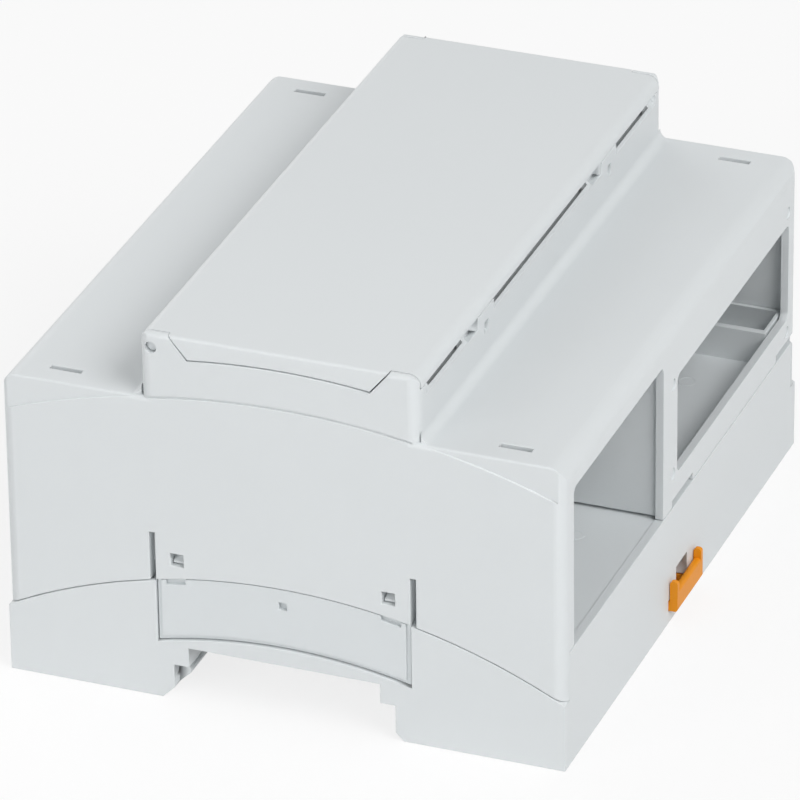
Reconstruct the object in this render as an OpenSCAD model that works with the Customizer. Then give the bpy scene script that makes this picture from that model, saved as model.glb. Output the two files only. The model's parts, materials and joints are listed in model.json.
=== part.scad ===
// Modular DIN rail enclosure: a lower and an upper housing that snap together,
// a hinged cover lid, a sprung foot latch and a cover in each bus opening.
// X runs along the rail, -Y is the latch side, Z = 0 is the underside of the feet.

/* [Overall] */
// Length of the enclosure along the rail
body_l = 107.6; // [100:0.1:180]
// Width of the enclosure across the rail
body_w = 89.7; // [88:0.1:96]
// Height from the feet to the top of the cap
body_h = 62.2; // [60.5:0.1:68]
// Height of the two shoulders
shoulder_h = 51.2; // [49.5:0.1:52.5]
// Width of the raised cap
cap_w = 44.4; // [43.6:0.1:48]

/* [Walls] */
// Thickness of the end walls
end_t = 2; // [1.7:0.05:2.4]
// Thickness of the end walls' ears beside the lid
ear_t = 1.2; // [1:0.05:1.5]
// Thickness of the long side walls of the upper housing
side_t = 1.3; // [1:0.05:1.8]
// Thickness of the shoulders and of the cap's side walls
roof_t = 1.6; // [1.4:0.05:2]
// Thickness of the partition between the bays
partition_t = 1.5; // [1:0.1:2.5]
// Thickness of the lower housing's side walls
lower_side_t = 1.45; // [1.2:0.05:2]
// Thickness of the deck, and of the walls and ribs in the feet
foot_t = 1.6; // [1.2:0.05:1.8]
// Longest pocket under the feet
pocket_l = 42; // [20:1:60]
// Clearance between pieces that snap or rest together
gap = 0.15; // [0.1:0.01:0.2]

/* [Edges] */
// Radius of the upper housing's upright corners
corner_r = 2; // [1:0.1:3]
// Radius along the outer edges of the shoulders
shoulder_r = 3; // [2:0.1:4]
// Radius of the hollow at the foot of the cap
cap_foot_r = 1.6; // [0.8:0.1:3]
// Radius of the top edges of the end walls
end_edge_r = 0.8; // [0.4:0.1:1.2]

/* [Joint between the housings] */
// Height of the joint on the long sides
joint_h = 19.6; // [19:0.1:21]
// Height of the joint arc in the middle of each end wall
arc_apex_h = 22.5; // [22:0.1:23.5]
// Height of the joint arc at the corners
arc_foot_h = 11.4; // [10.5:0.1:12.5]
// Depth of the deck under the rim of the lower housing's side walls
deck_drop = 0.35; // [0.2:0.05:0.8]
// Height by which the inner lip overlaps the joint arc
lip_h = 2.2; // [1:0.1:3]
// Thickness of the inner lip
lip_t = 1.4; // [1:0.1:2]

/* [Terminal bays] */
// Length of the corner posts beside the bays
post_l = 3.95; // [3:0.05:5]
// Length of the open bay at the near end
open_bay_l = 39.85; // [34:0.05:44]
// Height of the open bay's top edge
open_bay_h = 46.2; // [44:0.1:47]
// Width of the upright that frames the window on its near side
window_post_l = 6.4; // [5:0.1:8]
// Height of the window's sill
window_sill_h = 24.6; // [23.5:0.1:27]
// Height of the window's head
window_head_h = 41.4; // [38:0.1:43]
// Distance from the partition's face to the window wall's free edge
partition_set = 0.7; // [0.4:0.1:1.2]
// Depth of the partition into the bay
partition_d = 21; // [16:0.1:22]
// Length of the terminal step at the far end of the window bay
step_l = 8.5; // [6:0.1:10]
// Height of the terminal step above the deck
step_h = 5.6; // [4:0.1:7]
// Length of the release notches under the window wall
notch_l = 9.5; // [7:0.1:11]
// Height of the release notches
notch_h = 1.1; // [0.8:0.1:1.4]

/* [Rail slot] */
// Width of the rail that the slot takes
rail_w = 35; // [34.8:0.1:35.2]
// Clearance of the rail in the slot, both sides together
rail_clear = 0.7; // [0.4:0.1:1]
// Height of the ledges that the rail's flanges meet
seat_h = 5.95; // [5.8:0.05:6.4]
// Thickness of the rail's flanges, with clearance
flange_t = 1.15; // [1.05:0.05:1.3]
// Width of the relief above the ledges
relief_w = 30.8; // [29:0.1:32]
// Height of the relief's roof
relief_h = 9.2; // [8.6:0.1:9.3]
// Reach of the fixed hook under the rail's flange
hook_reach = 1.95; // [1.5:0.05:2.4]
// Chamfer at the foot of the slot on the hook's side
hook_chamfer = 2; // [1:0.1:2.4]
// Chamfer at the foot of the slot on the latch's side
latch_chamfer = 1.3; // [0.8:0.1:1.6]

/* [Foot latch] */
// Place of the latch along the rail, from the middle of the enclosure
latch_x = -1.2; // [-4:0.1:4]
// Width of the latch
latch_w = 11.8; // [11:0.1:14]
// Thickness of the latch's blade
blade_t = 1.7; // [1.4:0.05:2]
// Height of the underside of the blade
blade_h = 2.2; // [2:0.05:2.4]
// Travel of the latch from locked to free
latch_travel = 3.6; // [3:0.1:4]
// Distance that the grip stands out from the side wall
grip_out = 1.4; // [1.2:0.1:2.5]
// Height of the grip's bar above the blade's underside
grip_h = 3.6; // [3:0.1:4.2]
// Height of the grip's prongs above its bar
prong_h = 1.6; // [1:0.1:2]
// Width of the grip's prongs
prong_w = 1.9; // [1.4:0.1:2.6]
// Width of the screwdriver pocket behind the grip
pry_w = 5; // [4:0.1:6]
// Height of the screwdriver pocket's top
pry_h = 8.1; // [7.5:0.1:9]

/* [Bus openings] */
// Width of the bus covers
bus_w = 40.7; // [39:0.1:41]
// Height of the bus covers, along the arcs
bus_h = 10.3; // [10:0.1:11]
// Thickness of the bus covers' front plate
bus_t = 1; // [0.8:0.05:1.1]
// Width of the tongue round the bus covers' back
tongue_w = 0.9; // [0.6:0.1:1.2]

/* [Cover lid] */
// Thickness of the lid
lid_t = 1.5; // [1.2:0.05:1.9]
// Radius of the lid's rolled long edges and of the end walls' top corners
roll_r = 2; // [1.8:0.05:2.1]
// Depth of the lid's closing edge below the cap's top
lid_edge_d = 2.2; // [2:0.05:2.5]
// Distance of the hinge axis from the cap's side
hinge_set = 2; // [1.9:0.05:2.2]
// Depth of the hinge axis below the cap's top
hinge_d = 2.4; // [2.2:0.05:2.6]
// Diameter of the hinge pins
pin_d = 1.7; // [1.5:0.05:2]
// Running clearance round the hinge pins, on the radius
pin_clear = 0.08; // [0.05:0.01:0.1]
// Depth of the lid's end skirts below the cap's top
skirt_d = 3.8; // [3.4:0.1:4]
// Width of the end skirts at the cap's top
skirt_top_w = 35.1; // [30:0.1:35.4]
// Width of the end skirts at their bottom corners
skirt_foot_w = 29; // [25:0.1:30]
// Rise of the skirts' curved bottom edge in the middle
skirt_rise = 0.9; // [0.4:0.1:1.2]
// Depth of the recess under the lid, below the cap's top
tray_d = 5.3; // [5.2:0.1:6]
// Distance between the lid's two catches
catch_pitch = 54.5; // [50:0.1:56]
// Length of the plain wall at each catch
catch_wall_l = 6.9; // [6:0.1:8]
// Length of the lid's catch tabs
tab_l = 4.3; // [3.5:0.1:5]
// Depth of the catch tabs below the lid's edge
tab_d = 2; // [1.6:0.1:2.2]
// Thickness of the catch tabs
tab_t = 0.8; // [0.6:0.05:1]

/* [Snap fits] */
// Distance between the two release slits of an end wall
slit_pitch = 41.8; // [41.4:0.1:44]
// Width of the release slits
slit_w = 0.9; // [0.6:0.1:1.2]
// Height of the top of the release slits
slit_top_h = 28.3; // [27:0.1:30]
// Distance between the two snap windows of an end wall
snap_pitch = 33.9; // [32:0.1:35]
// Size of the square snap windows
snap_window = 2.1; // [1.8:0.1:2.4]
// Height of the middle of the snap windows
snap_h = 24.2; // [23.8:0.1:25.5]
// Width of the snap posts
snap_post_w = 4.2; // [3.4:0.1:5]

/* [Hidden] */
housing_grey = [0.82, 0.84, 0.84];
lid_grey = [0.84, 0.86, 0.86];
cover_grey = [0.80, 0.82, 0.82];
latch_orange = [0.90, 0.55, 0.14];
eps = 0.01; // overlap of joined solids
over = 1; // run of a cut past the surface it opens

half_l = body_l / 2;
half_w = body_w / 2;
half_cap = cap_w / 2;
inner_l = half_l - end_t; // inner face of the end walls
deck_h = joint_h - deck_drop;
slot_half = (rail_w + rail_clear) / 2;
rail_hold_h = seat_h - flange_t; // top of the hook and of the latch's nose

// The joint arc and what runs parallel to it
arc_sag = arc_apex_h - arc_foot_h;
arc_r = (half_w * half_w + arc_sag * arc_sag) / (2 * arc_sag);
// The upper line across the end walls
line_apex_h = shoulder_h + 2;
line_foot_h = shoulder_h - 6.2;
line_sag = line_apex_h - line_foot_h;
line_r = (half_w * half_w + line_sag * line_sag) / (2 * line_sag);
line_step = 0.25; // depth of the step and of the groove at the line
line_groove_w = 0.3;

// Places along X, from the near end
bay_x0 = -half_l + post_l;
split_x = bay_x0 + open_bay_l;
partition_x = split_x + partition_set;
window_x0 = split_x + window_post_l;
window_x1 = half_l - post_l - 0.2;
window_r = 1.2;

// Cap and lid
ear_in = half_l - ear_t; // inner face of the ears
tray_h = body_h - tray_d;
tray_t = 1.5;
hinge_y = half_cap - hinge_set;
hinge_h = body_h - hinge_d;
barrel_r = min(hinge_set, hinge_d);
hinge_wall_h = hinge_h - barrel_r - 2 * gap; // top of the cap's wall under the hinge
lid_edge_h = body_h - lid_edge_d;
catch_wall_h = lid_edge_h - gap; // top of the cap's wall on the catch side
scoop_r = 1.8;
scoop_set = 0.65; // distance of the scoop's centre outside the wall
skirt_r = (pow(skirt_foot_w / 2, 2) + skirt_rise * skirt_rise) / (2 * skirt_rise);
catch_x = [for (side = [-1, 1]) side * catch_pitch / 2 - 0.5];
// Each catch is a tab followed by a stretch of plain wall
tab_x0 = -(tab_l + catch_wall_l) / 2;
tab_x1 = tab_x0 + tab_l;
tab_slope = 3.6;

// Latch channel
blade_top = blade_h + blade_t;
nose_y = slot_half - hook_reach - 0.3;
nose_l = 5.4;
wing_w = 1.8; // width of the stops beside the blade
wing_y0 = slot_half + 10;
wing_l = 8;
channel_clear = gap;
guide_w = 1.6; // reach of the guides under the blade

// Bus channel
bus_half = bus_w / 2;
bus_floor_h = relief_h + foot_t;

// Pockets under the feet, and the solid block that guides the latch between them
pocket_x1 = inner_l - gap - foot_t;
pocket_y0 = max(slot_half + hook_chamfer, bus_half + gap) + foot_t;
latch_block_half = latch_w / 2 + wing_w + channel_clear + foot_t;

// ---- Helpers ----

// Extrudes an outline drawn in Y and Z along X, about the middle
module along_x(l) {
    rotate([90, 0, 90]) linear_extrude(height = l, center = true) children();
}

// Extrudes an outline drawn in Y and Z from x0 to x1
module span_x(x0, x1) {
    translate([(x0 + x1) / 2, 0, 0]) along_x(x1 - x0) children();
}

// Extrudes an outline drawn in X and Z along Y, from y0 to y1
module span_y(y0, y1) {
    translate([0, y1, 0]) rotate([90, 0, 0]) linear_extrude(height = y1 - y0) children();
}

// Box between two corners
module box(low, high) {
    translate(low) cube(high - low);
}

// Repeats a piece on the +Y side and on the -Y side
module both_sides() {
    children();
    mirror([0, 1, 0]) children();
}

// Repeats a piece at the far end and at the near end
module both_ends() {
    children();
    mirror([1, 0, 0]) children();
}

// Rectangle with rounded corners
module round_rect(x0, x1, z0, z1, r) {
    translate([x0 + r, z0]) square([x1 - x0 - 2 * r, z1 - z0]);
    translate([x0, z0 + r]) square([x1 - x0, z1 - z0 - 2 * r]);
    for (x = [x0 + r, x1 - r], z = [z0 + r, z1 - r]) translate([x, z]) circle(r, $fn = 32);
}

// Outline of what lies under an arc of radius r with its top at apex
module under_arc(apex, r) {
    translate([0, apex - r]) circle(r, $fn = 240);
}

// Material to take off along an edge to round it, in the corner at the origin
module round_off(r) {
    difference() {
        translate([-r, -r]) square(r + over);
        translate([-r, -r]) circle(r, $fn = 48);
    }
}

// ---- Shapes shared by both housings ----

// Section of a block of given half width and height with rounded top corners
module block_section(half, h, r) {
    difference() {
        translate([-half, 0]) square([2 * half, h]);
        both_edges() translate([half, h]) round_off(r);
    }
}

module both_edges() {
    children();
    mirror([1, 0]) children();
}

// Block with rounded upright corners and rounded end edges
module block(half, h, top_r) {
    intersection() {
        along_x(body_l) block_section(half, h, top_r);
        linear_extrude(height = h) round_rect(-half_l, half_l, -half, half, corner_r);
        span_y(-half, half) block_section(half_l, h, end_edge_r);
    }
}

// Outline of the notch in each ear, and of the lid's skirt that fills it
module skirt_outline(inset) {
    top = skirt_top_w / 2 - inset;
    foot = skirt_foot_w / 2 - inset;
    difference() {
        polygon([
            [-top, body_h + over], [-top, body_h], [-foot, body_h - skirt_d + inset],
            [foot, body_h - skirt_d + inset], [top, body_h], [top, body_h + over]
        ]);
        under_arc(body_h - skirt_d + skirt_rise + inset, skirt_r);
    }
}

// Bus opening above its arched sill, made narrower by the inset
module bus_outline(inset) {
    difference() {
        translate([-bus_half + inset, 0]) square([bus_w - 2 * inset, body_h]);
        under_arc(arc_apex_h - bus_h + inset, arc_r - bus_h + inset);
    }
}

// ---- Upper housing ----

module upper_shell() {
    difference() {
        union() {
            block(half_w, shoulder_h, shoulder_r);
            block(half_cap, body_h, roll_r);
            both_sides() cap_foot();
        }
        // Room under the shoulders and under the recess
        along_x(2 * inner_l) block_section(half_w - side_t, shoulder_h - roof_t, shoulder_r / 2);
        box([-inner_l, -half_cap + roof_t, 0], [inner_l, half_cap - roof_t, tray_h - tray_t]);
        below_joint();
    }
}

// Hollow where the cap's side meets the shoulder
module cap_foot() {
    translate([0, half_cap, shoulder_h]) difference() {
        along_x(body_l - 2 * end_edge_r) translate([-eps, -eps]) square(cap_foot_r + eps);
        along_x(body_l) translate([cap_foot_r, cap_foot_r]) circle(cap_foot_r, $fn = 48);
    }
}

module below_joint() {
    box([-inner_l, -half_w - over, -over], [inner_l, half_w + over, joint_h]);
    along_x(body_l + over) intersection() {
        under_arc(arc_apex_h, arc_r);
        translate([-half_w - over, -over]) square([body_w + 2 * over, body_h]);
    }
}

// Recess under the lid, the low wall under the hinge and the notches for the skirts
module lid_recess() {
    top = body_h + over;
    box([-ear_in, -half_cap + roof_t, tray_h], [ear_in, half_cap - roof_t, top]);
    box([-ear_in, -half_cap - over, catch_wall_h], [ear_in, 0, top]);
    box([-ear_in, 0, hinge_wall_h], [ear_in, half_cap + over, top]);
    along_x(body_l + over) skirt_outline(0);
    translate([0, hinge_y, hinge_h]) rotate([0, 90, 0])
        cylinder(r = pin_d / 2 + pin_clear, h = body_l + over, center = true, $fn = 48);
}

// Finger scoops under the lid's closing edge, between the catches
module scoops() {
    ends = [-ear_in + 2, catch_x[0] + tab_x0, catch_x[0] - tab_x0,
        catch_x[1] + tab_x0, catch_x[1] - tab_x0, ear_in - 2];
    for (i = [0, 2, 4]) translate([(ends[i] + ends[i + 1]) / 2, -half_cap - scoop_set, catch_wall_h])
        rotate([0, 90, 0]) cylinder(r = scoop_r, h = ends[i + 1] - ends[i], center = true, $fn = 48);
}

// Pocket for the lid's tab and the small snap pocket beside it
module catch_pockets() {
    for (x = catch_x) translate([x, 0, 0]) {
        box([tab_x0 - eps, -half_cap - over, lid_edge_h - tab_d - gap],
            [tab_x1 + gap, -half_cap + tab_t + 2 * gap, body_h]);
        box([tab_x1 + 2.9, -half_cap - over, lid_edge_h - tab_d - 2.1],
            [tab_x1 + 4.4, -half_cap + tab_t, lid_edge_h - tab_d - 0.2]);
    }
}

// Open bay and framed window in one long side
module side_openings() {
    span_y(half_w - side_t - over, half_w + over) {
        round_rect(bay_x0, split_x, 0, open_bay_h, window_r);
        round_rect(window_x0, window_x1, window_sill_h, window_head_h, window_r);
        for (x = [split_x + 4.2, half_l - 0.4 - notch_l])
            translate([x, joint_h - over]) square([notch_l, notch_h + over]);
    }
    // Ejector marks beside the window
    for (p = [[window_x0 - 1.9, window_head_h - 0.6], [window_x0 - 1.9, window_sill_h + 0.8],
              [window_x1 - 0.5, window_head_h + 2.2], [window_x1 - 0.5, window_sill_h - 2.2]])
        translate([p[0], half_w, p[1]]) rotate([90, 0, 0]) cylinder(r = 1, h = 0.6, center = true, $fn = 32);
}

// Partition between the two bays of one side
module partition() {
    y1 = half_w - side_t;
    box([partition_x, y1 - partition_d, joint_h + gap],
        [partition_x + partition_t, y1 + eps, shoulder_h - roof_t + eps]);
}

// Slits, snap windows and the arched line of one end wall
module end_wall_cuts() {
    both_sides() {
        box([inner_l - over, (slit_pitch - slit_w) / 2, 0],
            [half_l + over, (slit_pitch + slit_w) / 2, slit_top_h]);
        box([inner_l - over, (snap_pitch - snap_window) / 2, snap_h - snap_window / 2],
            [half_l + over, (snap_pitch + snap_window) / 2, snap_h + snap_window / 2]);
    }
    // The shoulders' ends step back above the line
    span_x(half_l - line_step, half_l + over) difference() {
        translate([-half_w - over, line_foot_h - over]) square([body_w + 2 * over, body_h]);
        under_arc(line_apex_h, line_r);
        translate([-half_cap, 0]) square([cap_w, body_h + 2 * over]);
    }
    // Under the cap the line is a fine groove
    span_x(half_l - line_step, half_l + over) intersection() {
        difference() {
            under_arc(line_apex_h, line_r);
            under_arc(line_apex_h - line_groove_w, line_r);
        }
        translate([-half_cap + 1.2, line_foot_h]) square([cap_w - 2.4, body_h]);
    }
}

// Slots in the shoulders, near the four corners
module shoulder_slots() {
    both_ends() both_sides()
        box([half_l - 4.85, half_w - 11.55, shoulder_h - roof_t - over],
            [half_l - 3.75, half_w - 6.55, shoulder_h + over]);
}

module upper_housing() {
    color(housing_grey) difference() {
        union() {
            upper_shell();
            both_sides() partition();
        }
        lid_recess();
        scoops();
        catch_pockets();
        both_sides() side_openings();
        both_ends() end_wall_cuts();
        shoulder_slots();
    }
}

// ---- Lower housing ----

// Rail slot with its ledges and relief, open at the bottom
module slot_outline() {
    polygon([
        [-slot_half - latch_chamfer - over, -over], [-slot_half, latch_chamfer], [-slot_half, seat_h],
        [-relief_w / 2, seat_h], [-relief_w / 2, relief_h], [relief_w / 2, relief_h],
        [relief_w / 2, seat_h], [slot_half, seat_h], [slot_half, hook_chamfer],
        [slot_half + hook_chamfer + over, -over]
    ]);
}

// Fixed hook that grips the rail's flange on the +Y side
module rail_hook() {
    tip = slot_half - hook_reach;
    span_x(-inner_l, inner_l) polygon([
        [slot_half + eps, rail_hold_h], [tip + 0.3, rail_hold_h], [tip, rail_hold_h - 0.3],
        [tip, rail_hold_h - 0.9], [slot_half + eps, hook_chamfer]
    ]);
}

// Row of pockets, open at the bottom, that core out a foot from x0 to x1
module foot_pockets(x0, x1) {
    count = ceil((x1 - x0) / pocket_l);
    pitch = (x1 - x0 + foot_t) / count;
    for (i = [0 : count - 1]) translate([x0 + i * pitch, 0, 0])
        box([0, pocket_y0, -over], [pitch - foot_t, half_w - foot_t, deck_h - foot_t]);
}

// Channel that guides the latch through the -Y foot, with its screwdriver pocket
module latch_channel() {
    c = channel_clear;
    half = latch_w / 2 + c;
    low = blade_h - c;
    top = blade_top + c;
    stop_y = wing_y0 + wing_l + latch_travel + c;
    translate([latch_x, 0, 0]) {
        box([-half, -half_w - over, low], [half, -slot_half + over, top]);
        box([-half, -slot_half - nose_l - latch_travel, low], [half, -slot_half + over, rail_hold_h + c]);
        box([-half - wing_w, -stop_y, low], [half + wing_w, -wing_y0 + c, top]);
        // The blade lies open between two guides underneath
        box([-half + guide_w, -stop_y, -over], [half - guide_w, -slot_half + over, top]);
        box([-pry_w / 2, -half_w - over, blade_h], [pry_w / 2, -half_w + 3.4, pry_h]);
    }
}

// Snap posts, each with a wedge that catches in a window of the upper housing
module snap_posts() {
    x1 = inner_l - 2 * gap - bus_t;
    lug = snap_window / 2 - gap;
    both_ends() both_sides() {
        box([x1 - lip_t, (snap_pitch - snap_post_w) / 2, bus_floor_h - eps],
            [x1, (snap_pitch + snap_post_w) / 2, snap_h + 1.6]);
        span_y(snap_pitch / 2 - lug, snap_pitch / 2 + lug) polygon([
            [x1 - eps, snap_h - lug], [half_l - 0.8, snap_h - lug],
            [half_l - 0.8, snap_h - lug + 0.4], [x1 - eps, snap_h + lug]
        ]);
    }
}

// Outline of the end walls up to the joint, raised by the given height
module end_outline(rise) {
    intersection() {
        under_arc(arc_apex_h - gap + rise, arc_r - gap + rise);
        translate([-half_w, 0]) square([body_w, body_h]);
    }
}

module lower_body() {
    lip_x = inner_l - gap;
    // Everything between the end walls, up to the rim
    box([-lip_x, -half_w, 0], [lip_x, half_w, joint_h - gap]);
    along_x(body_l) end_outline(0);
    // Inner lip behind the upper housing's end walls
    lip_y0 = (slit_pitch + slit_w) / 2 + gap;
    both_ends() both_sides() span_x(lip_x - lip_t, lip_x) intersection() {
        end_outline(lip_h);
        translate([lip_y0, 0]) square([half_w - side_t - gap - lip_y0, body_h]);
    }
    // Terminal step at the far end of each window bay
    both_sides() box([lip_x - step_l, half_w - side_t - gap - partition_d + 2, deck_h - eps],
        [lip_x, half_w - lower_side_t - gap, deck_h + step_h]);
}

module lower_housing() {
    color(housing_grey) {
        difference() {
            lower_body();
            // Shallow well over the deck, inside the rim and between the lips
            difference() {
                box([-inner_l + gap + lip_t, -half_w + lower_side_t, deck_h],
                    [inner_l - gap - lip_t, half_w - lower_side_t, body_h]);
                both_sides() box(
                    [inner_l - gap - step_l, half_w - side_t - gap - partition_d + 2, deck_h - over],
                    [inner_l, half_w - lower_side_t - gap, deck_h + step_h]);
            }
            along_x(body_l + over) slot_outline();
            // Bus channel, with a seat in each end wall for its cover
            box([-inner_l, -bus_half - gap, bus_floor_h], [inner_l, bus_half + gap, body_h]);
            both_ends() {
                span_x(inner_l - eps, half_l + over) bus_outline(-gap);
                span_x(half_l - 2 * bus_t - 3 * gap, half_l - bus_t) bus_outline(-tongue_w - gap);
            }
            foot_pockets(-pocket_x1, pocket_x1);
            mirror([0, 1, 0]) {
                foot_pockets(-pocket_x1, latch_x - latch_block_half);
                foot_pockets(latch_x + latch_block_half, pocket_x1);
            }
            latch_channel();
        }
        rail_hook();
        snap_posts();
    }
}

// ---- Foot latch ----

module foot_latch() {
    grip_y0 = -half_w - grip_out;
    half = latch_w / 2;
    color(latch_orange) translate([latch_x, 0, 0]) difference() {
        union() {
            box([-half, grip_y0 + 0.3, blade_h], [half, -slot_half, blade_top]);
            latch_nose(half);
            // Stops that keep the blade in its channel
            box([-half - wing_w, -wing_y0 - wing_l, blade_h], [half + wing_w, -wing_y0, blade_top]);
            grip(half, grip_y0);
        }
        // Hole for the screwdriver's tip
        box([-pry_w / 2, -half_w - gap, blade_h - over], [pry_w / 2, -half_w + 2.6, blade_top + over]);
    }
}

// Nose that springs under the rail's flange
module latch_nose(half) {
    span_x(-half, half) polygon([
        [-nose_y, rail_hold_h - 0.8], [-nose_y, rail_hold_h - 0.2], [-nose_y - 0.3, rail_hold_h],
        [-slot_half - nose_l + 0.8, rail_hold_h], [-slot_half - nose_l, blade_top],
        [-slot_half - nose_l, blade_h], [-nose_y - 1.9, blade_h]
    ]);
}

// Grip bar with a rounded prong at each end
module grip(half, y0) {
    y1 = -half_w - gap;
    top = blade_h + grip_h;
    edge_r = 0.5;
    span_x(-half, half) round_rect(y0, y1, blade_h, top, edge_r);
    for (x = [-half, half - prong_w]) span_x(x, x + prong_w) {
        translate([y0, blade_h + edge_r]) square([y1 - y0, grip_h + prong_h - 2 * edge_r]);
        round_rect(y0, y1, blade_h, top + prong_h, edge_r);
    }
}

// ---- Bus covers ----

// Cover of the far bus opening: a plate with a stepped rim and a wider tongue behind it
module bus_cover() {
    x1 = half_l - 0.1;
    difference() {
        intersection() {
            union() {
                span_x(half_l - bus_t - gap, x1 - 0.4) bus_outline(0);
                span_x(half_l - bus_t - gap, x1) bus_outline(0.7);
                span_x(half_l - 2 * bus_t - 2 * gap, half_l - bus_t - gap + eps) bus_outline(-tongue_w);
            }
            along_x(body_l) under_arc(arc_apex_h - gap, arc_r - gap);
        }
        // Two clip notches and a small inspection window under the joint
        both_sides() span_x(half_l - 0.7, half_l + over) intersection() {
            translate([15.7, 0]) square([3.2, body_h]);
            difference() {
                under_arc(arc_apex_h, arc_r);
                under_arc(arc_apex_h - 1, arc_r - 1);
            }
        }
        box([half_l - 0.8, -0.65, arc_apex_h - 3.6], [half_l + over, 0.65, arc_apex_h - 2.4]);
    }
}

module bus_cover_far() {
    color(cover_grey) bus_cover();
}

module bus_cover_near() {
    color(cover_grey) mirror([1, 0, 0]) bus_cover();
}

// ---- Cover lid ----

// Section of the lid: flat top, rolled closing edge and hinge barrel
module lid_section() {
    difference() {
        intersection() {
            block_section(half_cap, body_h, roll_r);
            translate([-half_cap, lid_edge_h]) square([cap_w, lid_edge_d]);
        }
        translate([-half_cap + lid_t, 0]) square([hinge_y + half_cap - lid_t, body_h - lid_t - 0.5]);
        translate([-half_cap + lid_t + 0.5, 0]) square([hinge_y + half_cap - lid_t - 0.5, body_h - lid_t]);
        translate([-half_cap + lid_t + 0.5, body_h - lid_t - 0.5]) circle(0.5, $fn = 32);
    }
    translate([hinge_y, hinge_h]) circle(barrel_r, $fn = 48);
}

// End skirt that fills the notch of the far ear
module lid_skirt() {
    x1 = half_l - 0.15;
    intersection() {
        span_x(ear_in - 2, x1) skirt_outline(gap);
        span_y(-half_cap, half_cap) difference() {
            translate([0, 0]) square([x1, body_h]);
            translate([x1, body_h]) round_off(0.5);
        }
    }
}

// Tab that clips into the pocket of the cap's wall
module catch_tab() {
    span_y(-half_cap + 0.05, -half_cap + tab_t) polygon([
        [tab_x0 + gap, lid_edge_h + eps], [tab_x0 + tab_slope, lid_edge_h - tab_d],
        [tab_x1 - gap, lid_edge_h - tab_d], [tab_x1 - gap, lid_edge_h + eps]
    ]);
}

module cover_lid() {
    color(lid_grey) {
        along_x(2 * (ear_in - gap)) lid_section();
        both_ends() {
            lid_skirt();
            translate([ear_in - over, hinge_y, hinge_h]) rotate([0, 90, 0])
                cylinder(r = pin_d / 2, h = over + ear_t - 0.4, $fn = 48);
        }
        for (x = catch_x) translate([x, 0, 0]) catch_tab();
        // Stiffening ribs under the flat top
        for (y = [-11, 0, 11]) box([-ear_in + 4, y - 0.5, body_h - lid_t - 0.8],
            [ear_in - 4, y + 0.5, body_h - lid_t + eps]);
    }
}

lower_housing();
upper_housing();
cover_lid();
foot_latch();
bus_cover_near();
bus_cover_far();
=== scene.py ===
# %% [markdown]
# # A DIN rail enclosure, dressed in Blender
# The enclosure is a light grey box of moulded plastic that snaps on a mounting rail
# in a control cabinet. It has a lower housing, an upper housing, a hinged lid, an
# orange latch and two small covers. The solids were drawn in a CAD program, at their
# real size. This lesson softens their edges, gives each one a believable plastic,
# adds the small marks that a mould leaves, and lights the whole like a product
# picture. Most cells print what they made, so you can follow along.

# %% Load the frame
import json
import math

import bmesh
import bpy
from mathutils import Matrix, Quaternion, Vector


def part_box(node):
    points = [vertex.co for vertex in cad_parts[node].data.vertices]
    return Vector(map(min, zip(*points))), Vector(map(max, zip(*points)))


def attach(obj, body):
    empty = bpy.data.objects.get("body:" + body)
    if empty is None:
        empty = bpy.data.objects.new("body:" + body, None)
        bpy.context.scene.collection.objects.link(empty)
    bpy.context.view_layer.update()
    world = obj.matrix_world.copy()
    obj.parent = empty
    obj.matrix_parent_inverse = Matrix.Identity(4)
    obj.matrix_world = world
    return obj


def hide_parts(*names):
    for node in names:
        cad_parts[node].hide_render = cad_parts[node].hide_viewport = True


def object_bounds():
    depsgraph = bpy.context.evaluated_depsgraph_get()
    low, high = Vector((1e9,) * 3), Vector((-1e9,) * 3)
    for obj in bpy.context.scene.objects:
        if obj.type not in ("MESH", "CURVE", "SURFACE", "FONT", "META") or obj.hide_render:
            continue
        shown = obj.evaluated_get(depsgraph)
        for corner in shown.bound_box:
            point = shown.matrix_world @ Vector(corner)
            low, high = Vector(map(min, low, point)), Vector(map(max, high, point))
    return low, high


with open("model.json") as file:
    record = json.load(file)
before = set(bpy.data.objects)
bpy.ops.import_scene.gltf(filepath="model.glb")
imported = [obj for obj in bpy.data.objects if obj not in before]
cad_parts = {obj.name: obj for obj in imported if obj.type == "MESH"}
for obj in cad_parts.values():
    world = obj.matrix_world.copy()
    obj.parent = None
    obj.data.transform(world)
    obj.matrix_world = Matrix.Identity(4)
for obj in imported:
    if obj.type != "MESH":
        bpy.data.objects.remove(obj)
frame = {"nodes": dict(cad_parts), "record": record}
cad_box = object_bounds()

print("solids:", sorted(frame["nodes"]))
print("box, mm:", [[round(v * 1000, 2) for v in corner] for corner in cad_box])

# %% [markdown]
# ## Working in millimetres
# Blender works in metres and the enclosure was drawn in millimetres. One constant
# keeps the numbers readable: `2 * MM` is two millimetres. Places on the enclosure are
# worked out from the solids' own boxes, so that they follow when the part changes. A
# box comes from Blender with stray last digits, so the helper rounds them off.

# %% Sizes in millimetres
MM = 0.001


def box_mm(node):
    """The low and the high corner of a solid's box, in millimetres."""
    return [[round(value / MM, 3) for value in corner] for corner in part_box(node)]


(left, front, _), (right, back, top) = box_mm("upper_housing")
print(f"length {right - left:.1f}, width {back - front:.1f}, height {top:.1f}")

# %% [markdown]
# ## Two helpers
# An object appears in Blender only after it is linked to a collection, and a modifier
# becomes real geometry only when the object is evaluated. Both take a line or two that
# would repeat all through the lesson, so each gets a short function.

# %% Place an object, and make its modifiers real
def placed(name, data):
    """A new object in the scene that shows a mesh, a lamp or a camera."""
    made = bpy.data.objects.new(name, data)
    bpy.context.scene.collection.objects.link(made)
    return made


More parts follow.
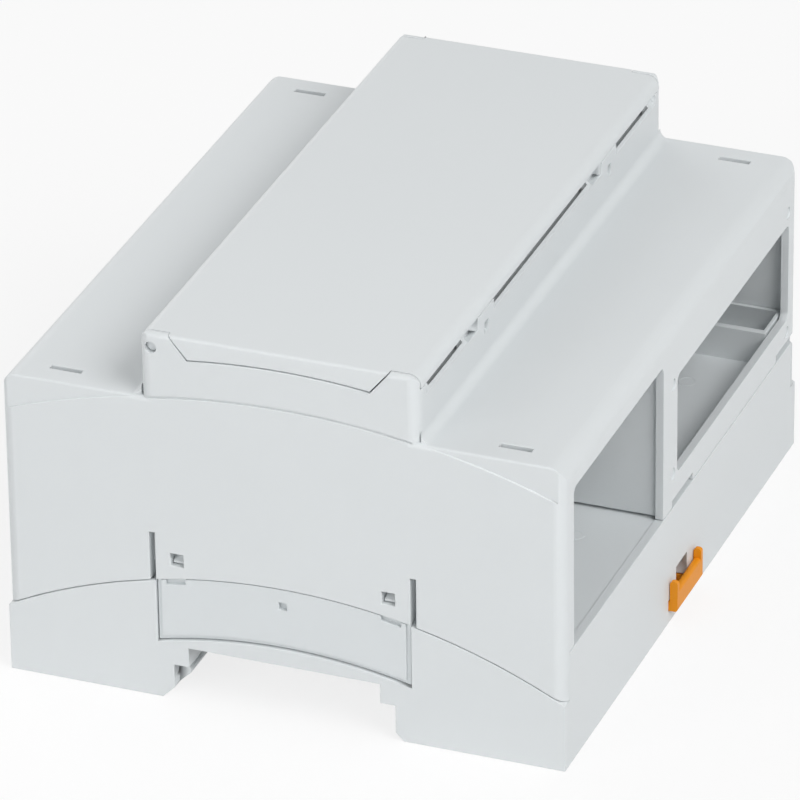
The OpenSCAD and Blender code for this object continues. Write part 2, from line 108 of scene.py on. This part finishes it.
def evaluated_mesh(thing):
    """A plain mesh of the object as it is after its modifiers."""
    bpy.context.view_layer.update()
    graph = bpy.context.evaluated_depsgraph_get()
    return bpy.data.meshes.new_from_object(thing.evaluated_get(graph))


print("helpers:", placed.__name__, evaluated_mesh.__name__)

# %% [markdown]
# ## The camera
# Product pictures of housings are taken from far away with a long lens, so that
# parallel edges stay nearly parallel. You could place the camera by hand and turn it
# until it looks right, but angles are easier to think about: the azimuth says from
# which side we look, the elevation how far from above, and the roll tilts the
# horizon by less than a degree. The camera then backs away from the point it aims at.

# %% Place the camera
azimuth, elevation = math.radians(-68.65), math.radians(28.55)
roll = math.radians(-0.77)
aim = Vector((-2.13, 0.92, 28.07)) * MM
distance = 1186 * MM
backwards = Vector((math.sin(azimuth) * math.cos(elevation),
                    -math.cos(azimuth) * math.cos(elevation),
                    math.sin(elevation)))

lens = bpy.data.cameras.new("product_lens")
lens.sensor_width = 36
lens.lens = 346
lens.clip_start, lens.clip_end = 0.05, 20
camera = placed("product_camera", lens)
camera.rotation_mode = "QUATERNION"
camera.location = aim + backwards * distance
camera.rotation_quaternion = ((-backwards).to_track_quat("-Z", "Y")
                              @ Quaternion((0, 0, 1), roll))
bpy.context.scene.camera = camera
print("camera at, mm:", [round(v / MM, 1) for v in camera.location], "lens", lens.lens)

# %% [markdown]
# ## A small language for shader maths
# A material in Blender is a graph of nodes. Wiring dozens of Math nodes by hand is
# slow to write and hard to read. The class below wraps one output socket, and gives
# it the usual operators: `1 - mask` or `rough * 0.5` adds the Math nodes for you.
# Every other kind of node comes from its one method `add`, which takes the node's
# type, its settings, and what goes in its sockets. It serves Geometry Nodes as well.

# %% The socket class
class Wire:
    """One output socket of a node. Operators on wires add Math nodes."""

    def __init__(self, tree, socket=None):
        self.tree, self.socket = tree, socket

    def add(self, kind, inputs=None, settings=None, out=0):
        """Adds a node of any type, settings first, and returns one of its outputs."""
        made = self.tree.nodes.new(kind)
        for name, value in (settings or {}).items():
            setattr(made, name, value)
        for name, value in (inputs or {}).items():
            if isinstance(value, Wire):
                self.tree.links.new(value.socket, made.inputs[name])
            else:
                made.inputs[name].default_value = value
        return Wire(self.tree, made.outputs[out] if len(made.outputs) else None)

    def _maths(self, operation, first, second):
        return self.add("ShaderNodeMath", {0: first, 1: second},
                        {"operation": operation})

    def __add__(self, other):
        return self._maths("ADD", self, other)

    def __sub__(self, other):
        return self._maths("SUBTRACT", self, other)

    def __rsub__(self, other):
        return self._maths("SUBTRACT", other, self)

    def __mul__(self, other):
        return self._maths("MULTIPLY", self, other)

    def above(self, level):
        """1 where the value is over the level, 0 elsewhere."""
        return self._maths("GREATER_THAN", self, level)

    def at_most(self, level):
        """The value, held down to the level."""
        return self._maths("MINIMUM", self, level)

    __radd__ = __add__
    __rmul__ = __mul__


def empty_graph(name):
    """A new material without any nodes, and a wire to start from."""
    material = bpy.data.materials.new(name)
    material.use_nodes = True
    material.node_tree.nodes.clear()
    return material, Wire(material.node_tree)


print("operators:", [name for name in vars(Wire) if name.startswith("__r")])

# %% [markdown]
# ## What every plastic needs
# Noise, stretched coordinates, tints and mixed colours turn up in every material of
# the enclosure. A helper for each keeps the recipes short enough to read as recipes.

# %% Noise and tints
def noise(wire, place, size, detail=2.0, roughness=0.5):
    """Smooth noise whose lumps are about `size` metres across."""
    return wire.add("ShaderNodeTexNoise", {"Vector": place, "Scale": 1 / size,
                                           "Detail": detail, "Roughness": roughness})


def stretched(wire, place, scale):
    """Coordinates whose pattern is drawn out along the axes with a small scale."""
    return wire.add("ShaderNodeMapping", {"Vector": place, "Scale": scale})


def tinted(colour, factor):
    """The colour made darker or lighter by a factor."""
    return tuple(min(1.0, channel * factor) for channel in colour) + (1.0,)


def blended(wire, factor, first, second, blend="MIX"):
    """Two colours mixed by a factor."""
    return wire.add("ShaderNodeMix", {0: factor, 6: first, 7: second},
                    {"data_type": "RGBA", "blend_type": blend}, out=2)


print("a tint of mid grey:", tinted((0.5, 0.5, 0.5), 1.02))

# %% [markdown]
# ## Grey moulded plastic
# The housing's plastic looks plain, but a flat colour would look like paint in a
# game. Three things make it plastic. The colour drifts a little where the melt cooled
# at different speeds. The mould was spark-eroded, so the surface has a grain of about
# a third of a millimetre, with finer grain on top, and it catches the light as a soft
# sheen. And the sheen itself varies, because the grain is polished where hands and
# tools have rubbed it. All of it comes from noise on Object coordinates, which are the
# enclosure's own metres, so a pattern's size can be given in millimetres.

# %% The plastic's recipe
def moulded_plastic(name, colour, grain=0.32 * MM, depth=0.010 * MM, sheen=0.48):
    """Grained plastic: drifting colour, spark-eroded bump and uneven sheen."""
    cloud_size, streak_size, drift, speckle = 38 * MM, 9 * MM, 0.02, 0.10
    material, wire = empty_graph(name)
    place = wire.add("ShaderNodeTexCoord", out="Object")
    cloud = noise(wire, place, cloud_size, detail=3.0)
    along_flow = stretched(wire, place, (0.25, 1.0, 1.0))
    streak = noise(wire, along_flow, streak_size, detail=4.0, roughness=0.6)
    coarse = noise(wire, place, grain, detail=3.0, roughness=0.62)
    fine = noise(wire, place, grain * 0.3, detail=2.0, roughness=0.7)

    shade = cloud * 0.65 + streak * 0.35
    drifting = blended(wire, shade, tinted(colour, 1 - drift), tinted(colour, 1 + drift))
    pits = (fine - 0.5) * speckle + 0.5
    speckled = blended(wire, pits, drifting, tinted(colour, 1.01), blend="SOFT_LIGHT")
    relief = coarse * 0.7 + fine * 0.3
    bump = wire.add("ShaderNodeBump",
                    {"Height": relief, "Strength": 0.55, "Distance": depth})
    gloss = (coarse - 0.5) * 0.12 + (streak - 0.5) * 0.10 + sheen
    surface = wire.add("ShaderNodeBsdfPrincipled",
                       {"Base Color": speckled, "Roughness": gloss, "Normal": bump,
                        "IOR": 1.49, "Specular IOR Level": 0.42})
    wire.add("ShaderNodeOutputMaterial", {"Surface": surface})
    return material


housing_plastic = moulded_plastic("housing_plastic", (0.655, 0.680, 0.690))
lid_plastic = moulded_plastic("lid_plastic", (0.665, 0.690, 0.700),
                              grain=0.36 * MM, sheen=0.46)
cover_plastic = moulded_plastic("cover_plastic", (0.640, 0.668, 0.680),
                                grain=0.26 * MM, depth=0.007 * MM, sheen=0.40)
print("plastics:", housing_plastic.name, lid_plastic.name, cover_plastic.name)

# %% [markdown]
# ## Orange latch plastic
# The latch is of another plastic, because it has to spring. It comes from a polished
# mould, so it is smoother and glossier than the housing, with faint marks from the
# screwdriver that pries it. We reuse the noise helper, and keep the reflection weak:
# a strong one lays a veil of white over the orange and makes it look chalky.

# %% The latch's material
def latch_plastic(name, colour):
    """Smooth, slightly waxy plastic with fine rub marks."""
    material, wire = empty_graph(name)
    place = wire.add("ShaderNodeTexCoord", out="Object")
    cloud_size, rub_size = 5 * MM, 0.5 * MM
    cloud = noise(wire, place, cloud_size, detail=2.0)
    along_blade = stretched(wire, place, (1.0, 0.08, 0.5))
    rubbed = noise(wire, along_blade, rub_size, detail=3.0, roughness=0.7)
    marks = rubbed.above(0.62)
    drifting = blended(wire, cloud, tinted(colour, 0.93), tinted(colour, 1.06))
    gloss = 0.42 + cloud * 0.08 + marks * 0.12
    bump = wire.add("ShaderNodeBump",
                    {"Height": rubbed, "Strength": 0.3, "Distance": 0.006 * MM})
    surface = wire.add("ShaderNodeBsdfPrincipled",
                       {"Base Color": drifting, "Roughness": gloss, "Normal": bump,
                        "IOR": 1.46, "Specular IOR Level": 0.3})
    wire.add("ShaderNodeOutputMaterial", {"Surface": surface})
    return material


latch_orange = latch_plastic("latch_orange", (0.80, 0.285, 0.008))
print("latch:", latch_orange.name, len(latch_orange.node_tree.nodes), "nodes")

# %% [markdown]
# ## Softening the edges
# Nothing that comes out of a mould has a perfectly sharp edge. A radius of a sixth of
# a millimetre is enough to catch a thin line of light, and it is what the eye expects.
# A Bevel modifier can round the outer edges, but with one width for all of them two
# roundings run into each other on a narrow face. So each edge gets a weight: the
# modifier multiplies its width by it, and beside a narrow face the weight is lower.

# %% Weigh the edges
def weigh_edges(graph, radius):
    """Gives each sharp outer edge a bevel weight that its neighbours have room for."""
    sharp, nearly_flat = math.radians(30), math.radians(5)
    share_of_room, least_weight = 0.4, 0.2
    weights = graph.edges.layers.float.new("bevel_weight_edge")
    rounded = 0
    for edge in graph.edges:
        if edge.calc_face_angle(0) < sharp:
            continue
        ends = [other for vert in edge.verts for other in vert.link_edges
                if other is not edge and other.calc_face_angle(0) > nearly_flat]
        room = min([other.calc_length() for other in ends] + [edge.calc_length()])
        weight = min(1.0, share_of_room * room / radius) if edge.is_convex else 0.0
        if weight > least_weight:
            edge[weights] = weight
            rounded += 1
        else:
            edge.smooth = False
    return rounded


print("edge weights come from", weigh_edges.__name__)

# %% [markdown]
# ## Cutting small pockets
# A few hollows on the enclosure are too small for its solids and still catch the eye:
# slots, recesses and the space behind a bar. A Boolean modifier cuts each one with a
# block. It needs a closed mesh, so it comes before the edges are rounded, and then
# the new edges are rounded with the rest. Each block sticks out of the surface that
# it cuts, because two faces in the same plane would leave a skin without thickness.

# %% Cut blocks out of a mesh
def block_mesh(corners):
    """A box between two opposite corners."""
    first, last = corners
    block = bmesh.new()
    bmesh.ops.create_cube(block, size=1.0, matrix=Matrix.LocRotScale(
        (first + last) / 2, None, last - first))
    mesh = bpy.data.meshes.new("pocket")
    block.to_mesh(mesh)
    block.free()
    return mesh


def cut_pockets(graph, pockets):
    """The closed mesh without the boxes, each given by two opposite corners."""
    mesh = bpy.data.meshes.new("pocketed")
    graph.to_mesh(mesh)
    graph.free()
    whole = placed("pocketed", mesh)
    tools = [placed("pocket", block_mesh(corners)) for corners in pockets]
    for tool in tools:
        cut = whole.modifiers.new("pocket", "BOOLEAN")
        cut.operation, cut.object, cut.solver = "DIFFERENCE", tool, "EXACT"
    result = bmesh.new()
    result.from_mesh(evaluated_mesh(whole))
    for done in tools + [whole]:
        bpy.data.objects.remove(done)
    return result


print("pockets come from", cut_pockets.__name__)

# %% [markdown]
# ## Rounding the mesh
# The Bevel modifier rounds the weighed edges in two steps. Its new faces would bend
# the shading of the large ones beside them, as if a flat wall bulged at its rim. The
# Weighted Normal modifier lets the large faces win, so they stay flat.

# %% Round the mesh
def rounded_mesh(mesh, radius):
    """The mesh with its weighted edges rounded and its large faces shaded flat."""
    rough = placed("rough", mesh)
    bevel = rough.modifiers.new("moulded_edge", "BEVEL")
    bevel.width, bevel.segments, bevel.limit_method = radius, 2, "WEIGHT"
    bevel.use_clamp_overlap = False
    normals = rough.modifiers.new("flat_faces", "WEIGHTED_NORMAL")
    normals.weight, normals.keep_sharp = 100, True
    finished = evaluated_mesh(rough)
    bpy.data.objects.remove(rough)
    return finished


print("roundings come from", rounded_mesh.__name__)

# %% [markdown]
# ## From a solid to a moulding
# A CAD mesh is loose triangles, so we copy it, merge the doubled points and dissolve
# the lines that only cross flat faces. Pockets come next, then the edges. The finished
# mesh is held inside the solid's box, so that the dressed part is as large as the real
# one, and takes over from the solid on the same moving body.

# %% Dress a solid
def soften(node, piece_name, body, slot, material, radius, pockets=(), reshape=None):
    """Makes the rounded copy of a CAD node, and lets it stand for the node."""
    touching, flat_line = 0.0005 * MM, math.radians(0.2)
    mesh = frame["nodes"][node].data.copy()
    graph = bmesh.new()
    graph.from_mesh(mesh)
    bmesh.ops.remove_doubles(graph, verts=graph.verts, dist=touching)
    if pockets:
        graph = cut_pockets(graph, pockets)
    if reshape:
        reshape(graph)
    bmesh.ops.dissolve_limit(graph, angle_limit=flat_line,
                             verts=graph.verts, edges=graph.edges)
    rounded = weigh_edges(graph, radius)
    for face in graph.faces:
        face.smooth = True
    graph.to_mesh(mesh)
    graph.free()
    mesh.materials.clear()
    mesh.materials.append(material)
    finished = rounded_mesh(mesh, radius)
    lowest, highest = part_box(node)
    for point in finished.vertices:
        point.co = [min(max(v, a), b) for v, a, b in zip(point.co, lowest, highest)]
    piece = placed(piece_name, finished)
    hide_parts(node)
    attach(piece, body)
    print(f"{piece_name}: {rounded} edges rounded, {len(finished.polygons)} faces")


print("solids are dressed by", soften.__name__)

# %% [markdown]
# ## The upper housing
# Under the lid's long edge the real housing has three slots, and between them stand
# the two catches that hold the lid. A row of dark slots makes the thin lid read as a
# separate part. We list where the slots start and stop, from one end of the housing to
# the other, and cut through the top of the wall, as far in as the recess under the lid.

# %% Slots under the lid's edge
(_, lid_front, _), (lid_right, _, lid_top) = box_mm("cover_lid")
end_margin, catch_room = 5.3, 6.1
catches = (left + 22.55, right - 30.45)
starts = [left + end_margin] + [place + catch_room / 2 for place in catches]
stops = [place - catch_room / 2 for place in catches] + [right - end_margin]
slot_floor, slot_roof = top - 5.0, top - 1.7
slot_out, slot_in = lid_front + 0.5, lid_front + 1.9
edge_slots = [(Vector((start, slot_out, slot_floor)) * MM,
               Vector((stop, slot_in, slot_roof)) * MM)
              for start, stop in zip(starts, stops)]
soften("upper_housing", "upper_moulding", "housing", "housing", housing_plastic,
       0.16 * MM, edge_slots)

# %% [markdown]
# ## The lower housing
# At the window end a bar for the terminals stands on the deck on each side, with room
# behind it for the wires. The solid has a plain step there, so we cut the room out,
# from the end wall inwards, and leave the bar. The two sides of the housing mirror
# each other, so one box is worked out and the other takes the opposite signs in Y.

# %% Room behind the terminal bars
_, (lower_right, lower_back, lower_top) = box_mm("lower_housing")
room_outer = (lower_right - 2.8, lower_back - 2.25, lower_top + 0.2)
room_inner = (room_outer[0] - 6.65, room_outer[1] - 17.7, room_outer[2] - 6.4)
bar_pockets = []
for side in (-1, 1):
    y_low, y_high = sorted((side * room_inner[1], side * room_outer[1]))
    bar_pockets.append((Vector((room_inner[0], y_low, room_inner[2])) * MM,
                        Vector((room_outer[0], y_high, room_outer[2])) * MM))
soften("lower_housing", "lower_moulding", "housing", "housing", housing_plastic,
       0.14 * MM, bar_pockets)

# %% [markdown]
# ## The lid
# The lid turns on two pins that are moulded on its ends and sit in holes of the
# housing. A pin ends a little below the wall around it, and that shallow shadow is how
# you tell a pin from a printed dot. The record says where the hinge's axis is, so the
# two recesses are small blocks around it, one at each end.

# %% Recessed hinge pins
hinge = next(joint for joint in frame["record"]["behaviour"]["joints"]
             if joint["name"] == "lid_hinge")
_, hinge_y, hinge_z = (round(value / MM, 3) for value in hinge["pos_m"])
recess_half, recess_depth, stick_out = 1.0, 0.7, 0.35
inside, outside = lid_right - recess_depth, lid_right + stick_out
pin_recesses = [(Vector((x_low, hinge_y - recess_half, hinge_z - recess_half)) * MM,
                 Vector((x_high, hinge_y + recess_half, hinge_z + recess_half)) * MM)
                for x_low, x_high in ((-outside, -inside), (inside, outside))]
soften("cover_lid", "lid_moulding", "lid", "lid", lid_plastic, 0.16 * MM, pin_recesses)

# %% [markdown]
# ## The latch
# The latch holds the enclosure on its rail. A screwdriver goes between the two prongs
# of its grip to pry it out. The prongs are slim blades, and those of the solid are
# wider. Nothing has to be cut for that: the corners of each prong's inner face move
# outwards, away from the middle of the latch.

# %% Slimmer prongs
(latch_left, latch_front, _), (latch_right, _, latch_top) = box_mm("foot_latch")
grip_middle = (latch_left + latch_right) / 2
prong_root, prong_foot = latch_front + 1.25, latch_top - 2.15
inner_face, slimmed_by, near_enough = 4.0, 1.1, 0.01


def slim_prongs(graph):
    """Moves the inner faces of the grip's two prongs apart."""
    for vert in graph.verts:
        if vert.co.y > (prong_root + 0.001) * MM or vert.co.z <= prong_foot * MM:
            continue
        for side in (-1, 1):
            face_x = grip_middle + side * inner_face
            if abs(vert.co.x - face_x * MM) < near_enough * MM:
                vert.co.x += side * slimmed_by * MM


soften("foot_latch", "latch_moulding", "latch", "latch", latch_orange, 0.16 * MM,
       reshape=slim_prongs)

# %% [markdown]
# ## The bus covers
# Each end wall has an opening for a flat cable between neighbours, and a small cover
# snapped in it. A cover is a thin moulding, so its edges are rounded less.

# %% Covers in the end walls
soften("bus_cover_near", "near_cover_moulding", "housing", "cover", cover_plastic,
       0.10 * MM)
soften("bus_cover_far", "far_cover_moulding", "housing", "cover", cover_plastic,
       0.10 * MM)

# %% [markdown]
# ## Ejector pin marks
# When the mould opens, steel pins push the plastic out, and each pin leaves a faint
# raised ring where it pressed. Here the rings sit in rows on the decks under the
# terminal bays and on the inside of the lid. What repeats by a rule suits Geometry
# Nodes: a line of points carries a low ring on each point. Where the row starts and
# ends, how many rings it has, and their size are inputs of the tree, so one tree makes
# every row. It is built once, and each body gets its own plain mesh from it.

# %% The ring tree
def ring_tree():
    """A node group: a row of low rings between two points, seated on a flat face."""
    tree = bpy.data.node_groups.new("pin_marks", "GeometryNodeTree")
    kinds = {"Start": "Vector", "End": "Vector", "Count": "Int", "Diameter": "Float",
             "Height": "Float", "Plastic": "Material"}
    for name, kind in kinds.items():
        tree.interface.new_socket(name, in_out="INPUT", socket_type="NodeSocket" + kind)
    tree.interface.new_socket("Rings", in_out="OUTPUT", socket_type="NodeSocketGeometry")
    build = Wire(tree)
    take = {name: build.add("NodeGroupInput", out=name) for name in kinds}
    row = build.add("GeometryNodeMeshLine",
                    {"Count": take["Count"], "Start Location": take["Start"],
                     "Offset": take["End"]}, {"mode": "END_POINTS"})
    outer = build.add("GeometryNodeMeshCylinder",
                      {"Vertices": 32, "Radius": take["Diameter"] * 0.5,
                       "Depth": take["Height"] * 2.0})
    inner = build.add("GeometryNodeMeshCylinder",
                      {"Vertices": 32, "Radius": take["Diameter"] * 0.40,
                       "Depth": take["Height"] * 4.0})
    ring = build.add("GeometryNodeMeshBoolean", {"Mesh 1": outer, "Mesh 2": inner},
                     {"operation": "DIFFERENCE", "solver": "EXACT"})
    repeated = build.add("GeometryNodeInstanceOnPoints", {"Points": row, "Instance": ring})
    real = build.add("GeometryNodeRealizeInstances", {"Geometry": repeated})
    painted = build.add("GeometryNodeSetMaterial",
                        {"Geometry": real, "Material": take["Plastic"]})
    build.add("NodeGroupOutput", {"Rings": painted})
    return tree


rings = ring_tree()
print("ring tree:", len(rings.nodes), "nodes")

# %% [markdown]
# ## Rows of marks
# A tree only makes geometry through a modifier on an object. So each row gets a
# passing object with the tree on it, its result is kept as a plain mesh, and the
# rows of one body are joined. The mesh then rides on that body, like every piece.

# %% Make the rows of one body
def pin_marks(piece_name, body, slot, rows, plastic):
    """Makes the rows of rings as one plain mesh that rides on a body."""
    diameter, height = 3.0 * MM, 0.05 * MM
    parts = bmesh.new()
    for start, end, count in rows:
        holder = placed("row", bpy.data.meshes.new("row"))
        maker = holder.modifiers.new("pin_marks", "NODES")
        maker.node_group = rings
        given = {"Start": Vector(start) * MM, "End": Vector(end) * MM, "Count": count,
                 "Diameter": diameter, "Height": height, "Plastic": plastic}
        for item in rings.interface.items_tree:
            if item.in_out == "INPUT":
                maker[item.identifier] = given[item.name]
        parts.from_mesh(evaluated_mesh(holder))
        bpy.data.objects.remove(holder)
    mesh = bpy.data.meshes.new(piece_name)
    parts.to_mesh(mesh)
    parts.free()
    mesh.materials.append(plastic)
    piece = placed(piece_name, mesh)
    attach(piece, body)
    print(f"{piece_name}: {len(mesh.polygons)} faces")


print("rows are made by", pin_marks.__name__)

# %% [markdown]
# ## Where the rows lie
# A wide flat face clings to the mould, so each deck has a row along its middle: two
# pins in the open bay and three in the windows' bay. The lid, wide and thin, gets two
# rows. The places are counted from the ends of the solids' boxes.

# %% Marks on the decks and in the lid
deck_z, deck_y = lower_top - 6.55, lower_back - 11.35
open_bay_row, window_row = (11.8, 35.8, 2), (57.8, 87.8, 3)
deck_rows = [((left + first, side * deck_y, deck_z),
              (left + last, side * deck_y, deck_z), count)
             for side in (-1, 1) for first, last, count in (open_bay_row, window_row)]
lid_inside, lid_reach, lid_row_y = lid_top - 1.5, lid_right - 13.65, 5.5
lid_rows = [((-lid_reach, y, lid_inside), (lid_reach, y, lid_inside), 4)
            for y in (-lid_row_y, lid_row_y)]
pin_marks("deck_pin_marks", "housing", "housing", deck_rows, housing_plastic)
pin_marks("lid_pin_marks", "lid", "lid", lid_rows, lid_plastic)

# %% [markdown]
# ## A glow that lights nothing
# The floor and the air round it have to be white in the picture, but a white that
# glows would flood the enclosure with light from below. Blender can tell rays apart,
# so the glow is shown only to those that come straight from the camera and to
# reflections.

# %% Which rays see the glow
def seen_directly(wire):
    """1 for rays from the camera and for reflections, 0 for light that falls on things."""
    rays = [wire.add("ShaderNodeLightPath", out=name)
            for name in ("Is Camera Ray", "Is Glossy Ray", "Is Transmission Ray")]
    return (rays[0] + rays[1] + rays[2]).at_most(1.0)


print("the glow follows", seen_directly.__name__)

# %% [markdown]
# ## The floor
# The floor is a large pale sheet. Most of it is the glow, and the rest stays ordinary
# white paint. That share shows the soft shadow that ties the enclosure down. The sheet
# lies a hair below the feet, because two faces in one place flicker.

# %% The floor
floor_size, floor_gap, glowing_share = 12, 0.02 * MM, 0.80
floor_material, wire = empty_graph("studio_paper")
paper = wire.add("ShaderNodeBsdfDiffuse", {"Color": (0.90, 0.90, 0.90, 1)})
glow = wire.add("ShaderNodeEmission", {"Color": (1, 1, 1, 1), "Strength": 1.0})
floor_mix = wire.add("ShaderNodeMixShader",
                     {0: seen_directly(wire) * glowing_share, 1: paper, 2: glow})
wire.add("ShaderNodeOutputMaterial", {"Surface": floor_mix})

bpy.ops.mesh.primitive_plane_add(size=floor_size,
                                 location=(0, 0, cad_box[0].z - floor_gap))
floor = bpy.context.active_object
floor.name = "studio_floor"
floor.data.materials.append(floor_material)
print("floor:", floor.name)

# %% [markdown]
# ## The air around
# The world behind the floor is handled in the same way. Rays from the camera find pure
# white, and everything else gets a dim, even light that fills the shadows a little.

# %% The background
ambient_light = 0.24
world = bpy.data.worlds.new("studio_air")
world.use_nodes = True
world.node_tree.nodes.clear()
sky = Wire(world.node_tree)
ambient = sky.add("ShaderNodeBackground",
                  {"Color": (1, 1, 1, 1), "Strength": ambient_light})
white = sky.add("ShaderNodeBackground", {"Color": (1, 1, 1, 1), "Strength": 1.0})
sky_mix = sky.add("ShaderNodeMixShader", {0: seen_directly(sky), 1: ambient, 2: white})
sky.add("ShaderNodeOutputWorld", {"Surface": sky_mix})
bpy.context.scene.world = world
print("air:", world.name)

# %% [markdown]
# ## The lamps
# Four large soft lamps do the rest. The strongest stands high on the side of the open
# bays, so that it reaches their decks and lights the tall side. One in front lifts the
# end wall, a weak one hangs above, and one behind keeps the far sides from going dull
# when you walk round. The size of a lamp, and not its power, decides how sharp a
# shadow is.

# %% Hang the lamps
lamp_size = 0.70
lit_point = Vector((0, 0, 0.03))


def softbox(name, place, power):
    """A square lamp that faces the enclosure."""
    lamp = bpy.data.lights.new(name, "AREA")
    lamp.size, lamp.energy = lamp_size, power
    holder = placed(name, lamp)
    holder.location = Vector(place)
    holder.rotation_mode = "QUATERNION"
    facing = lit_point - Vector(place)
    holder.rotation_quaternion = facing.to_track_quat("-Z", "Y")


softbox("key_lamp", (-0.10, 0.30, 1.05), 1.0)
softbox("end_lamp", (-1.05, 0.45, 0.42), 4.0)
softbox("side_lamp", (-0.40, -0.75, 0.85), 9.6)
softbox("back_lamp", (0.75, 0.95, 0.55), 4.0)

# %% [markdown]
# ## Colours as they are
# Blender's default view transform bends bright colours to look like film. A part in a
# library has to show its colours as they were written, so the plain Standard
# transform is the right choice here, with its other settings left alone.

bpy.context.scene.view_settings.view_transform = "Standard"
